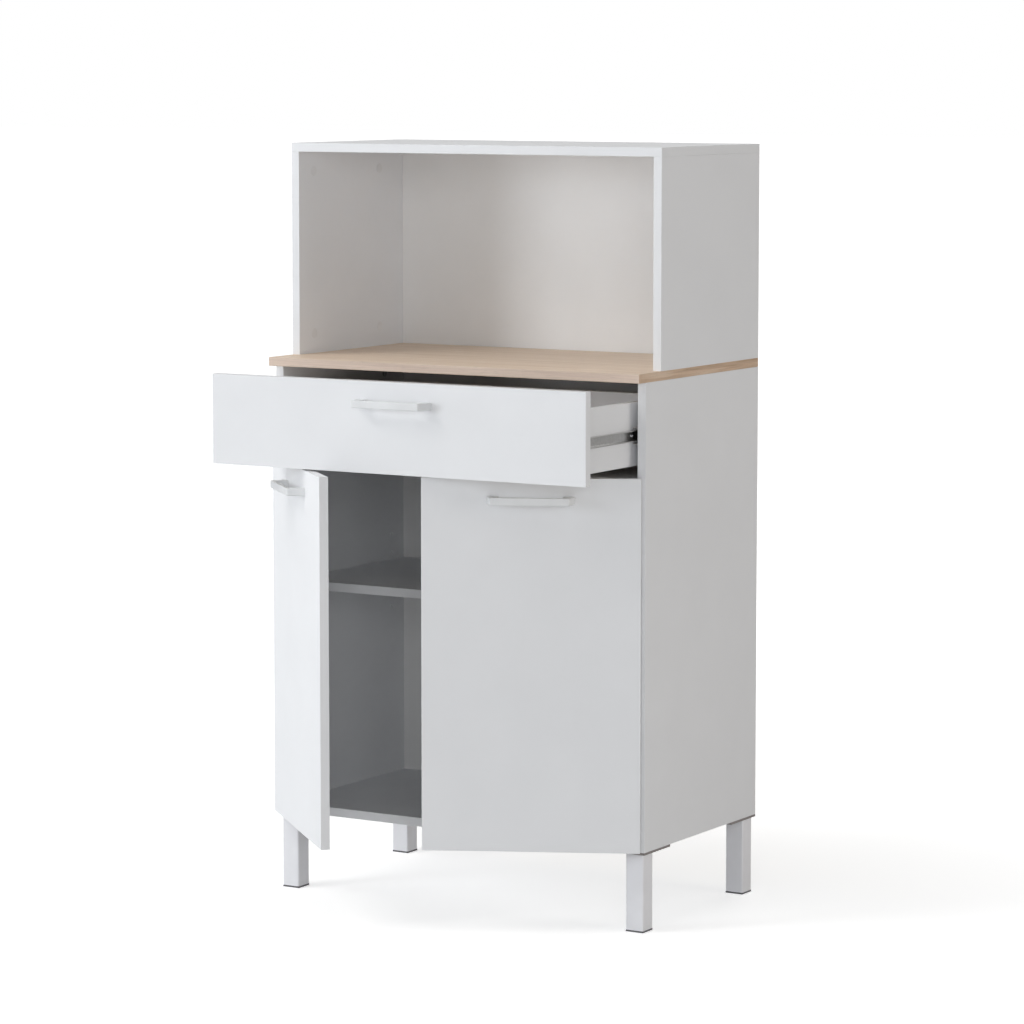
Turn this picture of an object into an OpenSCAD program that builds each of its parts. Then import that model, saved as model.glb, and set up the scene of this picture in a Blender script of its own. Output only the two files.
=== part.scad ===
// Free-standing kitchen cabinet: two doors and a drawer under a worktop, with an open niche on top.
// The origin is on the floor, midway across the width, and midway along the depth that the cabinet
// takes with its doors and drawer as far open as they are drawn. +Z is up and the fronts face -Y.
// Sizes are in millimetres.

/* [Carcass] */
// Width over the side panels
carcass_w = 720; // [600:5:900]
// Depth of the side panels
carcass_d = 390; // [370:5:450]
// Height of the side panels
carcass_h = 768; // [720:1:900]
// Middle of the side panels to the origin, which lies in front of it
origin_forward = 128; // [0:1:130]
// Thickness of the boards
board_t = 15; // [15:0.5:19]
// Thickness of the back panels
back_t = 3; // [3:0.5:5]
// Rear edge of the boards to the back panels
back_inset = 10; // [8:1:16]
// Depth of the grooves that hold the thin panels
groove_depth = 6; // [4:0.5:8]

/* [Shelf] */
// Clear height under the shelf
shelf_up = 369; // [200:1:420]
// Front edge of the side panels to the shelf
shelf_setback = 20; // [5:1:60]
// Diameter of the shelf pins
shelf_pin_d = 5; // [4:0.5:6]

/* [Worktop and niche] */
// Thickness of the worktop
worktop_t = 15; // [15:1:25]
// How far the worktop stands proud of the side panels' front edges
worktop_overhang = 22; // [15:1:40]
// Height of the niche side panels
niche_h = 346; // [250:1:450]
// Front edge of the carcass side panels to that of the niche side panels
niche_setback = 50; // [20:1:100]

/* [Fronts] */
// Thickness of the doors and the drawer front
front_t = 15; // [15:0.5:19]
// Gap between the fronts and the carcass
front_gap = 3.5; // [3.5:0.5:5]
// Gap between two fronts
front_reveal = 3; // [2:0.5:5]
// Outer face of the side panels to the fronts
side_reveal = 2; // [1.5:0.5:3]
// Gap above the drawer front and below the doors
end_reveal = 1.5; // [1:0.5:4]
// Height of the drawer front
drawer_front_h = 150; // [145:1:200]

/* [Drawer] */
// Thickness of the drawer's sides and back
drawer_side_t = 12; // [12:0.5:15]
// Height of the drawer's sides
drawer_side_h = 103.5; // [80:0.5:110]
// Length of the drawer's sides
drawer_d = 350; // [300:10:350]
// Thickness of the drawer's bottom
drawer_bottom_t = 3; // [3:0.5:5]
// Lower edge of the drawer's sides to the drawer's bottom
drawer_bottom_up = 8; // [6:1:12]
// Top of the drawer front to the top of the drawer's sides
drawer_drop = 32; // [25:1:45]
// How far the drawer is drawn out
drawer_open = 171; // [0:1:256]

/* [Slides] */
// Gap between the drawer's side and the side panel, which the slide fills
slide_gap = 13; // [12.7:0.1:13.5]
// How far the slide runs out
slide_travel = 256; // [200:1:260]
// Thickness of the slide's steel
slide_steel = 1.2; // [1:0.1:1.5]
// Height of the member on the drawer
slide_inner_h = 17.5; // [15:0.5:20]
// Diameter of the balls
ball_d = 3.5; // [3:0.1:4]
// Clearance of a ball in its race and in its cage
ball_play = 0.15; // [0.1:0.05:0.25]
// Length of the ball cage
cage_len = 80; // [60:1:84]

/* [Doors and hinges] */
// Angle of the left door
left_open = 43.3; // [0:0.1:95]
// Angle of the right door
right_open = 26; // [0:0.1:95]
// End of a door to the middle of its hinge
hinge_from_end = 95; // [70:1:140]
// Diameter of the hinge cup
cup_d = 35; // [35:0.1:36]
// Depth of the hinge cup
cup_depth = 12; // [12:0.1:12.5]
// Edge of the door to the hinge cup
cup_tab = 3.5; // [3.4:0.1:3.6]
// Inner face of the door to the axis of the hinge pin
pin_depth = 8.5; // [8.3:0.1:8.7]
// Diameter of the hinge pin
pin_d = 2.5; // [2:0.1:2.6]
// Clearance round the hinge pin in the arm's eye
pin_play = 0.05; // [0.03:0.01:0.08]
// Front edge of the side panel to the screws of the mounting plate
plate_setback = 37; // [35:1:45]

/* [Handles] */
// Length of a handle at its feet
handle_len = 144; // [140:1:170]
// Length of its straight front
handle_flat = 130; // [110:1:135]
// How far it stands out
handle_reach = 29; // [24:1:35]
// Height of its bar
handle_h = 12.5; // [11:0.5:18]
// Thickness of its bar
handle_bar = 6; // [4:0.5:8]
// Length of each foot
handle_foot = 20; // [18:1:24]
// Distance between its two screws
handle_pitch = 128; // [124:1:130]
// Top edge of the front to the middle of the handle
handle_drop = 35.5; // [25:0.5:60]

/* [Legs] */
// Floor to the carcass
leg_h = 134; // [100:1:180]
// Width of the square tube
leg_w = 33; // [28:1:40]
// Wall of the square tube
leg_wall = 1.5; // [1:0.1:2.5]
// Outer faces of the carcass to the leg
leg_inset = 4.5; // [2:0.5:20]
// Side of the square mounting plate, flush with the corner of the carcass
leg_plate_w = 88; // [80:1:110]
// Thickness of the mounting plate
leg_plate_t = 4; // [2:0.5:5]
// Thickness of the foot pad
pad_t = 3; // [2:0.5:6]

/* [Fasteners] */
// Diameter of the cam locks
cam_d = 15; // [12:0.5:16]
// Joint face to the centre of a cam lock
cam_reach = 34; // [30:1:36]
// Diameter of the wooden dowels
dowel_d = 8; // [6:0.5:8]
// Length of the wooden dowels
dowel_len = 24; // [18:1:28]
// Clearance of a fastener in its hole
bore_play = 0.1; // [0.05:0.05:0.2]

/* [Hidden] */
$fn = 48;

melamine = [0.93, 0.93, 0.94];
core_board = [0.86, 0.86, 0.85];
oak = [0.80, 0.69, 0.56];
steel = [0.62, 0.62, 0.63];
zinc = [0.72, 0.72, 0.72];
white_metal = [0.91, 0.91, 0.93];
dark_plastic = [0.36, 0.36, 0.37];
beech = [0.80, 0.66, 0.47];

// How far a cut runs past a face
past = 1;
groove_play = 0.2;
// Planes of the carcass
half_w = carcass_w / 2;
in_x = half_w - board_t;
front_y = origin_forward - carcass_d / 2;
rear_y = front_y + carcass_d;
back_y = rear_y - back_inset - back_t;
carcass_z = leg_h;
floor_z = carcass_z + board_t;
carcass_top = carcass_z + carcass_h;
worktop_top = carcass_top + worktop_t;
niche_top = worktop_top + niche_h;
niche_front = front_y + niche_setback;
shelf_z = floor_z + shelf_up;
// Planes of the fronts and the drawer box
inner_y = front_y - front_gap;
outer_y = inner_y - front_t;
drawer_front_top = carcass_top - end_reveal;
drawer_front_z = drawer_front_top - drawer_front_h;
drawer_top = drawer_front_top - drawer_drop;
drawer_z = drawer_top - drawer_side_h;
drawer_x = in_x - slide_gap;
drawer_floor = drawer_z + drawer_bottom_up;
drawer_rear = inner_y + drawer_d;
door_z = carcass_z + end_reveal;
door_top = drawer_front_z - front_reveal;
door_w = half_w - side_reveal - front_reveal / 2;
door_mid_x = -half_w + side_reveal + door_w / 2;
// The divider lies behind the doors' top edges
divider_lap = 2.5;
divider_top = door_top - divider_lap;
divider_z = divider_top - board_t;

// Cam joints: places along the boards, and the bolt's own sizes
joint_front = 45;
joint_rear = 60;
dowel_step = 32;
carcass_joints = [front_y + joint_front, back_y - joint_rear];
carcass_dowels = [front_y + joint_front + dowel_step, back_y - joint_rear - dowel_step];
niche_rear = joint_rear + dowel_step / 2;
niche_joints = [niche_front + joint_front, back_y - niche_rear];
niche_dowels = [niche_front + joint_front + dowel_step, back_y - niche_rear - dowel_step];
bolt_thread = 10;
bolt_thread_r = 2.4;
bolt_r = 3.4;
bolt_neck_r = 2;
bolt_head = 5;
bolt_neck = 3;
bolt_bore_r = 4;
cam_rest = 2.5;
cam_sink = 0.3;
cam_slot = 1.6;
cover_t = 0.6;
cover_rim = 0.9;
cover_peg = 0.8;
nail_in = 27;
nail_r = 0.8;
nail_len = 18;
nail_head_r = 2.2;
nail_head_t = 0.8;

// Shelf pins
pin_head = 8;
pin_reach = 7;
pin_in_board = 9;
pin_row_step = 32;
pin_front = 37;
pin_rear = 39;

// Drawer box
back_z = drawer_floor + drawer_bottom_t;
back_screw_r = 2;
back_screw_len = 40;
back_head_r = 3.8;
back_head_t = 2;
back_screw_in = 20;
bottom_screw_len = 14;
bottom_screw_in = 60;
drawer_cam_up = 31;
drawer_cam_down = 21;
drawer_handle_z = drawer_front_top - handle_drop;

// Slides, seen from the right-hand one
slide_drop = 1.75;
slide_z = drawer_z + drawer_side_h / 2 - slide_drop;
slide_back = 2;
race_z = slide_inner_h / 2 + ball_play + ball_d / 2;
slide_outer_half = race_z + ball_d / 2 + ball_play + slide_steel;
slide_lip = 1.2;
member_gap = 2.6;
slide_in_x0 = drawer_x;
slide_out_x0 = drawer_x + member_gap;
cage_t = 0.7;
cage_side_x = slide_out_x0 + slide_steel + 0.4;
cage_web_x = in_x - 3.5 - cage_t;
slide_in_x1 = cage_web_x - 0.5;
ball_x = cage_side_x + ball_play + ball_d / 2 + 0.5;
cab_front = front_y + slide_back;
cab_len = drawer_d;
member_front = inner_y + 1;
member_rear = drawer_rear - 1;
cage_mid = (cab_front + member_rear - slide_travel) / 2 + slide_travel / 2;
cage_y0 = cage_mid - cage_len / 2;
cage_y1 = cage_mid + cage_len / 2;
balls_per_row = 6;
ball_pitch = cage_len / balls_per_row;
slide_screw_r = 1.7;
slide_head_r = 3.2;
slide_head_t = 1.4;
slide_screw_len = 10;
slide_screw_in = 35;
drawer_screw_rows = [slide_screw_in, drawer_d / 2, drawer_d - slide_screw_in];
cabinet_screw_rows = [slide_screw_in, cab_len / 2, cab_len - slide_screw_in];

// Hinges, seen from the left-hand door
pin_r = pin_d / 2;
pin_in_cup = 4;
pin_x = -half_w + side_reveal + cup_tab + pin_in_cup;
pin_y = inner_y - pin_depth;
cup_x = -half_w + side_reveal + cup_tab + cup_d / 2;
hinge_places = [door_z + hinge_from_end, door_top - hinge_from_end];
cup_wall = 0.8;
cavity_r = cup_d / 2 - bore_play - cup_wall;
cup_floor = 0.7;
flange_t = 1.2;
flange_r = cup_d / 2 + 1.5;
flange_half = 26;
cup_screw_pitch = 48;
cup_screw_in = 6;
cup_screw_r = 1.7;
cup_screw_len = 9;
eye_r = 2.2;
eye_half = 4;
lug_gap = 0.4;
lug_t = 2.2;
neck_t = 2.5;
neck_reach = 13.5;
arm_steel = 1.2;
arm_h = 12;
arm_w = 15;
arm_skirt = 8;
arm_start = 4;
plate_t = 2;
plate_front = 13;
plate_rear = 24;
plate_ear = 7;
block_front = 9;
block_rear = 21;
arm_end = plate_setback + block_rear + 6;
plate_screw_z = 16;
plate_wing = 23;
plate_screw_r = 2.4;
plate_head_r = 3.4;
plate_head_t = 1.5;
plate_screw_len = 11;
arm_screw_r = 2;
arm_screw_back = 13;

// Handle screws
handle_screw_r = 1.95;
handle_grip = 10;
handle_head_r = 3.8;
handle_head_t = 2.4;

// Legs, seen from their own outer corner
leg_cap = 8;
stud_r = 4;
stud_len = 18;
pad_plug = 12;
leg_plate_far = leg_plate_w - leg_inset;
leg_screw_near = 30;
leg_screw_far = leg_plate_far - 8;
leg_screw_mid = (leg_w + leg_screw_far) / 2;
leg_screw_places = [
  [leg_screw_near, leg_screw_far], [leg_screw_far, leg_screw_near],
  [leg_screw_far, leg_screw_far], [leg_screw_mid, leg_screw_mid]
];
leg_screw_r = 1.9;
leg_head_r = 3.8;
leg_head_t = 2;
leg_screw_len = 12;

// A box between two corners
module box(lo, hi) {
  translate(lo) cube([hi[0] - lo[0], hi[1] - lo[1], hi[2] - lo[2]]);
}

// A rod along +X, +Y or +Z from a point
module rod_x(p, r, len) {
  translate(p) rotate([0, 90, 0]) cylinder(r = r, h = len);
}
module rod_y(p, r, len) {
  translate(p) rotate([-90, 0, 0]) cylinder(r = r, h = len);
}
module rod_z(p, r, len) {
  translate(p) cylinder(r = r, h = len);
}

// The left-hand half is drawn, and the right-hand one is its mirror image
module right_hand() {
  mirror([1, 0, 0]) children();
}

// Places of the joints. Local z = 0 is the joint face, the fastener's bolt end lies at -z in the board
// that receives it, and the cam is bored from the face at +y.
module board_end_joints(z_mid, places) {
  for (s = [-1, 1])
    for (y = places)
      translate([s * in_x, y, z_mid]) rotate([-90, 0, 0]) rotate([0, -90 * s, 0]) children();
}
module joints_below(z_face, places) {
  for (s = [-1, 1])
    for (y = places)
      translate([s * (half_w - board_t / 2), y, z_face]) rotate([180, 0, -90 * s]) children();
}
module joints_above(z_face, places) {
  for (s = [-1, 1])
    for (y = places)
      translate([s * (half_w - board_t / 2), y, z_face]) rotate([0, 0, 90 * s]) children();
}
module drawer_front_joints() {
  for (s = [-1, 1])
    for (z = [drawer_z + drawer_cam_up, drawer_top - drawer_cam_down])
      translate([s * (drawer_x - drawer_side_t / 2), inner_y, z])
        rotate([0, 90 * s, 0]) rotate([-90, 0, 0]) children();
}

// Every joint of the carcass and the niche
module all_joints() {
  board_end_joints(carcass_z + board_t / 2, carcass_joints) children();
  board_end_joints(divider_z + board_t / 2, carcass_joints) children();
  joints_below(carcass_top, carcass_joints) children();
  joints_above(worktop_top, niche_joints) children();
  joints_below(niche_top, niche_joints) children();
}
module all_dowel_places() {
  board_end_joints(carcass_z + board_t / 2, carcass_dowels) children();
  board_end_joints(divider_z + board_t / 2, carcass_dowels) children();
  joints_below(carcass_top, carcass_dowels) children();
  joints_above(worktop_top, niche_dowels) children();
  joints_below(niche_top, niche_dowels) children();
}

// A cam bolt: a screw end, a shank, a neck and a head
module cam_bolt() {
  head_z = cam_reach - bolt_neck;
  rotate_extrude()
    polygon([
      [0, -bolt_thread], [bolt_thread_r, -bolt_thread], [bolt_thread_r, 0], [bolt_r, 0],
      [bolt_r, head_z - bolt_neck], [bolt_neck_r, head_z - bolt_neck], [bolt_neck_r, head_z],
      [bolt_r, head_z], [bolt_r, head_z + bolt_head], [0, head_z + bolt_head]
    ]);
}
module bolt_bore() {
  translate([0, 0, -bolt_thread - bore_play])
    cylinder(r = bolt_thread_r + bore_play, h = bolt_thread + 2 * bore_play);
  cylinder(r = bolt_bore_r, h = cam_reach + bolt_head / 2);
}
// A cam lock in a board, open towards its bolt, with a crossed slot for the driver
module cam_lock(thick) {
  depth = thick - cam_rest;
  difference() {
    rod_y([0, thick / 2 - depth, cam_reach], cam_d / 2 - bore_play, depth - cam_sink);
    cylinder(r = bolt_bore_r, h = cam_reach + bolt_head / 2 + past);
    for (turn = [0, 90])
      translate([0, thick / 2 - cam_sink, cam_reach]) rotate([0, turn, 0])
        cube([cam_slot, 2, cam_d * 0.55], center = true);
  }
}
module cam_bore(thick) {
  depth = thick - cam_rest;
  rod_y([0, thick / 2 - depth, cam_reach], cam_d / 2, depth + past);
}
// A cover on a cam lock, with a crossed peg in the lock's slot
module cam_cover(thick) {
  rod_y([0, thick / 2, cam_reach], cam_d / 2 + cover_rim, cover_t);
  for (turn = [0, 90])
    translate([0, thick / 2 - cover_peg / 2, cam_reach]) rotate([0, turn, 0])
      cube([cam_slot - 2 * bore_play, cover_peg + 0.2, cam_d * 0.45], center = true);
}
module dowel() {
  translate([0, 0, -dowel_len / 2 + cam_rest]) cylinder(d = dowel_d, h = dowel_len);
}
module dowel_bore() {
  translate([0, 0, -dowel_len / 2 + cam_rest - bore_play])
    cylinder(d = dowel_d + 2 * bore_play, h = dowel_len + 2 * bore_play);
}

// Carcass

module back_groove(z0, z1) {
  box([-in_x - groove_depth, back_y - groove_play / 2, z0],
      [-in_x + past, back_y + back_t + groove_play / 2, z1]);
}
module shelf_pin_places() {
  for (y = [front_y + shelf_setback + pin_front, back_y - pin_rear])
    translate([-in_x, y, shelf_z - pin_head / 2]) children();
}
module nail_places() {
  for (z = [carcass_z + board_t / 2, divider_z + board_t / 2])
    for (i = [-2 : 2])
      translate([i * (in_x - nail_in) / 2, back_y + back_t, z]) children();
}
module nail_bore() {
  rod_y([0, -nail_len - bore_play, 0], nail_r + bore_play, nail_len + past);
}
module left_side_blank() {
  color(melamine) difference() {
    box([-half_w, front_y, carcass_z], [-in_x, rear_y, carcass_top]);
    back_groove(carcass_z - past, carcass_top + past);
    shelf_pin_places()
      for (row = [-2 : 2])
        rod_x([-pin_in_board - bore_play, 0, row * pin_row_step], shelf_pin_d / 2 + bore_play,
              pin_in_board + past);
    board_end_joints(carcass_z + board_t / 2, carcass_joints) bolt_bore();
    board_end_joints(divider_z + board_t / 2, carcass_joints) bolt_bore();
    board_end_joints(carcass_z + board_t / 2, carcass_dowels) dowel_bore();
    board_end_joints(divider_z + board_t / 2, carcass_dowels) dowel_bore();
    joints_below(carcass_top, carcass_joints) {
      bolt_bore();
      cam_bore(board_t);
    }
    joints_below(carcass_top, carcass_dowels) dowel_bore();
    hinge_heights() plate_screw_places()
      rod_x([-plate_screw_len - bore_play, 0, 0], plate_screw_r + bore_play, plate_screw_len + past);
    right_hand() cabinet_screw_places()
      rod_x([-past, 0, 0], slide_screw_r + bore_play, slide_screw_len + past);
  }
}
module left_side_panel() {
  left_side_blank();
}
module right_side_panel() {
  right_hand() left_side_blank();
}

// A board between the side panels, with the bores for its cams and dowels
module tie_board(z0) {
  color(melamine) difference() {
    box([-in_x, front_y, z0], [in_x, back_y - groove_play / 2, z0 + board_t]);
    board_end_joints(z0 + board_t / 2, carcass_joints) {
      bolt_bore();
      cam_bore(board_t);
    }
    board_end_joints(z0 + board_t / 2, carcass_dowels) dowel_bore();
    nail_places() nail_bore();
    children();
  }
}
module bottom_panel() {
  tie_board(carcass_z)
    at_corners()
      for (p = leg_screw_places)
        rod_z([p[0], p[1], leg_h - leg_plate_t], leg_screw_r + bore_play, leg_screw_len + bore_play);
}
module divider_panel() {
  tie_board(divider_z);
}
module lower_back_panel() {
  color(core_board) difference() {
    box([-in_x - groove_depth + groove_play, back_y, carcass_z],
        [in_x + groove_depth - groove_play, back_y + back_t, carcass_top]);
    nail_places() nail_bore();
  }
}
module back_panel_nails() {
  color(steel) nail_places() {
    rod_y([0, -nail_len, 0], nail_r, nail_len);
    rod_y([0, 0, 0], nail_head_r, nail_head_t);
  }
}
module shelf() {
  side_play = 1;
  rear_play = 2;
  color(melamine)
    box([-in_x + side_play, front_y + shelf_setback, shelf_z],
        [in_x - side_play, back_y - rear_play, shelf_z + board_t]);
}
// A shelf pin has a peg in the side panel and a square head under the shelf
module shelf_pins() {
  color(zinc) for (side = [0, 1])
    mirror([side, 0, 0])
      shelf_pin_places() {
        rod_x([-pin_in_board, 0, 0], shelf_pin_d / 2, pin_in_board);
        box([0, -pin_head / 2, -pin_head / 2], [pin_reach, pin_head / 2, pin_head / 2]);
      }
}
module worktop() {
  color(oak) difference() {
    box([-half_w, front_y - worktop_overhang, carcass_top], [half_w, rear_y, worktop_top]);
    joints_below(carcass_top, carcass_joints) bolt_bore();
    joints_above(worktop_top, niche_joints) bolt_bore();
    joints_below(carcass_top, carcass_dowels) dowel_bore();
    joints_above(worktop_top, niche_dowels) dowel_bore();
  }
}

// Niche

module niche_side() {
  color(melamine) difference() {
    box([-half_w, niche_front, worktop_top], [-in_x, rear_y, niche_top]);
    back_groove(worktop_top - past, niche_top + past);
    joints_above(worktop_top, niche_joints) {
      bolt_bore();
      cam_bore(board_t);
    }
    joints_below(niche_top, niche_joints) {
      bolt_bore();
      cam_bore(board_t);
    }
    joints_above(worktop_top, niche_dowels) dowel_bore();
    joints_below(niche_top, niche_dowels) dowel_bore();
  }
}
module niche_left_side() {
  niche_side();
}
module niche_right_side() {
  right_hand() niche_side();
}
module niche_top_panel() {
  color(melamine) difference() {
    box([-half_w, niche_front, niche_top], [half_w, rear_y, niche_top + board_t]);
    joints_below(niche_top, niche_joints) bolt_bore();
    joints_below(niche_top, niche_dowels) dowel_bore();
  }
}
module niche_back_panel() {
  color(core_board)
    box([-in_x - groove_depth + groove_play, back_y, worktop_top],
        [in_x + groove_depth - groove_play, back_y + back_t, niche_top]);
}

module cam_bolts() {
  color(zinc) all_joints() cam_bolt();
}
module cam_locks() {
  color(zinc) all_joints() cam_lock(board_t);
}
// Only the locks that can be seen have covers: those in the niche and under the divider
module cam_covers() {
  color(melamine) {
    board_end_joints(divider_z + board_t / 2, carcass_joints) cam_cover(board_t);
    joints_above(worktop_top, niche_joints) cam_cover(board_t);
    joints_below(niche_top, niche_joints) cam_cover(board_t);
  }
}
module wooden_dowels() {
  color(beech) all_dowel_places() dowel();
}

// Drawer. Its pieces are drawn with the drawer shut and then drawn out together.

module drawn_out() {
  translate([0, -drawer_open, 0]) children();
}
module handle_at(x, z) {
  translate([x, outer_y, z]) children();
}
// A handle: one bar bent out from two feet, seen from above and drawn up by its height
module handle_bow() {
  foot_in = handle_len / 2 - handle_foot;
  flat_in = handle_flat / 2 - handle_bar * 2;
  difference() {
    translate([0, 0, -handle_h / 2]) linear_extrude(handle_h)
      polygon([
        [-handle_len / 2, 0], [-handle_flat / 2, -handle_reach], [handle_flat / 2, -handle_reach],
        [handle_len / 2, 0], [foot_in, 0], [flat_in, handle_bar - handle_reach],
        [-flat_in, handle_bar - handle_reach], [-foot_in, 0]
      ]);
    handle_screw_places() rod_y([0, -handle_grip, 0], handle_screw_r + bore_play / 2, handle_grip + past);
  }
}
module handle_screw_places() {
  for (s = [-1, 1])
    translate([s * handle_pitch / 2, 0, 0]) children();
}
module handle_holes() {
  handle_screw_places() rod_y([0, -past, 0], handle_screw_r + 2 * bore_play, front_t + 2 * past);
}
module handle_screw_pair() {
  handle_screw_places() {
    rod_y([0, bore_play - handle_grip, 0], handle_screw_r, front_t + handle_grip - bore_play);
    rod_y([0, front_t, 0], handle_head_r, handle_head_t);
  }
}
module bottom_groove(lo, hi) {
  box([lo[0], lo[1], drawer_floor - groove_play / 2],
      [hi[0], hi[1], drawer_floor + drawer_bottom_t + groove_play / 2]);
}
module drawer_front() {
  drawn_out() color(melamine) difference() {
    box([-half_w + side_reveal, outer_y, drawer_front_z], [half_w - side_reveal, inner_y, drawer_front_top]);
    bottom_groove([-drawer_x, inner_y - groove_depth], [drawer_x, inner_y + past]);
    handle_at(0, drawer_handle_z) handle_holes();
    drawer_front_joints() bolt_bore();
  }
}
module drawer_side() {
  drawn_out() color(melamine) difference() {
    box([-drawer_x, inner_y, drawer_z], [-drawer_x + drawer_side_t, drawer_rear, drawer_top]);
    bottom_groove([-drawer_x + drawer_side_t - groove_depth, inner_y - past],
                  [-drawer_x + drawer_side_t + past, drawer_rear + past]);
    drawer_front_joints() {
      bolt_bore();
      cam_bore(drawer_side_t);
    }
    back_screw_places() back_screw_bore();
    right_hand() drawer_screw_places()
      rod_x([-slide_screw_len - bore_play, 0, 0], slide_screw_r + bore_play, slide_screw_len + past);
  }
}
module drawer_left_side() {
  drawer_side();
}
module drawer_right_side() {
  right_hand() drawer_side();
}
module back_screw_places() {
  for (z = [back_z + back_screw_in, drawer_top - back_screw_in])
    translate([-drawer_x, drawer_rear - drawer_side_t / 2, z]) children();
}
module back_screw_bore() {
  rod_x([-past, 0, 0], back_head_r + bore_play, back_head_t + past);
  rod_x([0, 0, 0], back_screw_r + bore_play, back_screw_len + bore_play);
}
module bottom_screw_places() {
  step = drawer_x - drawer_side_t - bottom_screw_in;
  for (i = [-1 : 1])
    translate([i * step, drawer_rear - drawer_side_t / 2, drawer_floor]) children();
}
module bottom_screw_bore() {
  rod_z([0, 0, -past], back_screw_r + bore_play, bottom_screw_len + past);
}
module drawer_back() {
  inner_x = drawer_x - drawer_side_t;
  drawn_out() color(melamine) difference() {
    box([-inner_x, drawer_rear - drawer_side_t, back_z], [inner_x, drawer_rear, drawer_top]);
    back_screw_places() back_screw_bore();
    right_hand() back_screw_places() back_screw_bore();
    bottom_screw_places() bottom_screw_bore();
  }
}
module drawer_bottom() {
  bottom_x = drawer_x - drawer_side_t + groove_depth - groove_play;
  drawn_out() color(core_board) difference() {
    box([-bottom_x, inner_y - groove_depth + groove_play, drawer_floor],
        [bottom_x, drawer_rear, drawer_floor + drawer_bottom_t]);
    bottom_screw_places() bottom_screw_bore();
  }
}
module drawer_handle() {
  drawn_out() color(white_metal) handle_at(0, drawer_handle_z) handle_bow();
}
module drawer_handle_screws() {
  drawn_out() color(zinc) handle_at(0, drawer_handle_z) handle_screw_pair();
}
module drawer_cams() {
  drawn_out() color(zinc) drawer_front_joints() {
    cam_bolt();
    cam_lock(drawer_side_t);
  }
}
// Countersunk in the sides and pan-headed under the bottom
module drawer_box_screws() {
  drawn_out() color(zinc) {
    for (side = [0, 1])
      mirror([side, 0, 0])
        back_screw_places() {
          rod_x([0, 0, 0], back_head_r, back_head_t);
          rod_x([0, 0, 0], back_screw_r, back_screw_len);
        }
    bottom_screw_places() {
      rod_z([0, 0, -back_head_t], back_head_r, back_head_t);
      rod_z([0, 0, -past], back_screw_r, bottom_screw_len + past - bore_play);
    }
  }
}

// Slides, drawn on the right

// Places of the screws, on the faces that the members lie against
module drawer_screw_places() {
  for (y = drawer_screw_rows)
    translate([slide_in_x0, inner_y + y, slide_z]) children();
}
module cabinet_screw_places() {
  for (y = cabinet_screw_rows)
    translate([in_x, cab_front + y, slide_z]) children();
}
// The member on the drawer: a channel whose flanges reach towards the cabinet
module drawer_member() {
  drawn_out() color(steel) difference() {
    box([slide_in_x0, member_front, slide_z - slide_inner_h / 2],
        [slide_in_x1, member_rear, slide_z + slide_inner_h / 2]);
    box([slide_in_x0 + slide_steel, member_front - past, slide_z - slide_inner_h / 2 + slide_steel],
        [slide_in_x1 + past, member_rear + past, slide_z + slide_inner_h / 2 - slide_steel]);
    drawer_screw_places() rod_x([-past, 0, 0], slide_screw_r + bore_play, slide_steel + 2 * past);
  }
}
// The member on the cabinet: a wider channel with lips that keep the balls in
module cabinet_member() {
  inner_half = slide_outer_half - slide_steel;
  color(steel) difference() {
    box([slide_out_x0, cab_front, slide_z - slide_outer_half],
        [in_x, cab_front + cab_len, slide_z + slide_outer_half]);
    box([slide_out_x0 + slide_steel, cab_front - past, slide_z - inner_half],
        [in_x - slide_steel, cab_front + cab_len + past, slide_z + inner_half]);
    box([slide_out_x0 - past, cab_front - past, slide_z - inner_half + slide_lip],
        [in_x - slide_steel, cab_front + cab_len + past, slide_z + inner_half - slide_lip]);
    cabinet_screw_places()
      rod_x([-slide_steel - past, 0, 0], slide_screw_r + bore_play, slide_steel + 2 * past);
  }
}
// The cage is a thin channel round the drawer's member, with two rows of balls through its flanges
module ball_places() {
  for (s = [-1, 1])
    for (i = [0 : balls_per_row - 1])
      translate([ball_x, cage_y0 + (i + 0.5) * ball_pitch, slide_z + s * race_z]) children();
}
module ball_cage() {
  half = race_z + cage_t / 2;
  translate([0, -drawer_open / 2, 0]) color(zinc) {
    difference() {
      box([cage_side_x, cage_y0, slide_z - half], [cage_web_x + cage_t, cage_y1, slide_z + half]);
      box([cage_side_x - past, cage_y0 - past, slide_z - half + cage_t],
          [cage_web_x, cage_y1 + past, slide_z + half - cage_t]);
      ball_places() cylinder(d = ball_d + 2 * ball_play, h = ball_d, center = true);
    }
    ball_places() sphere(d = ball_d);
  }
}
module right_drawer_slide() {
  drawer_member();
}
module left_drawer_slide() {
  right_hand() drawer_member();
}
module right_cabinet_slide() {
  cabinet_member();
}
module left_cabinet_slide() {
  right_hand() cabinet_member();
}
module right_ball_cage() {
  ball_cage();
}
module left_ball_cage() {
  right_hand() ball_cage();
}
module drawer_slide_screws() {
  drawn_out() color(zinc) for (side = [0, 1])
    mirror([side, 0, 0])
      drawer_screw_places() {
        rod_x([slide_steel, 0, 0], slide_head_r, slide_head_t);
        rod_x([slide_steel - slide_screw_len, 0, 0], slide_screw_r, slide_screw_len);
      }
}
module cabinet_slide_screws() {
  color(zinc) for (side = [0, 1])
    mirror([side, 0, 0])
      cabinet_screw_places() {
        rod_x([-slide_steel - slide_head_t, 0, 0], slide_head_r, slide_head_t);
        rod_x([-slide_steel, 0, 0], slide_screw_r, slide_screw_len);
      }
}

// Doors, drawn shut on the left and then turned about their hinge pins

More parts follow.
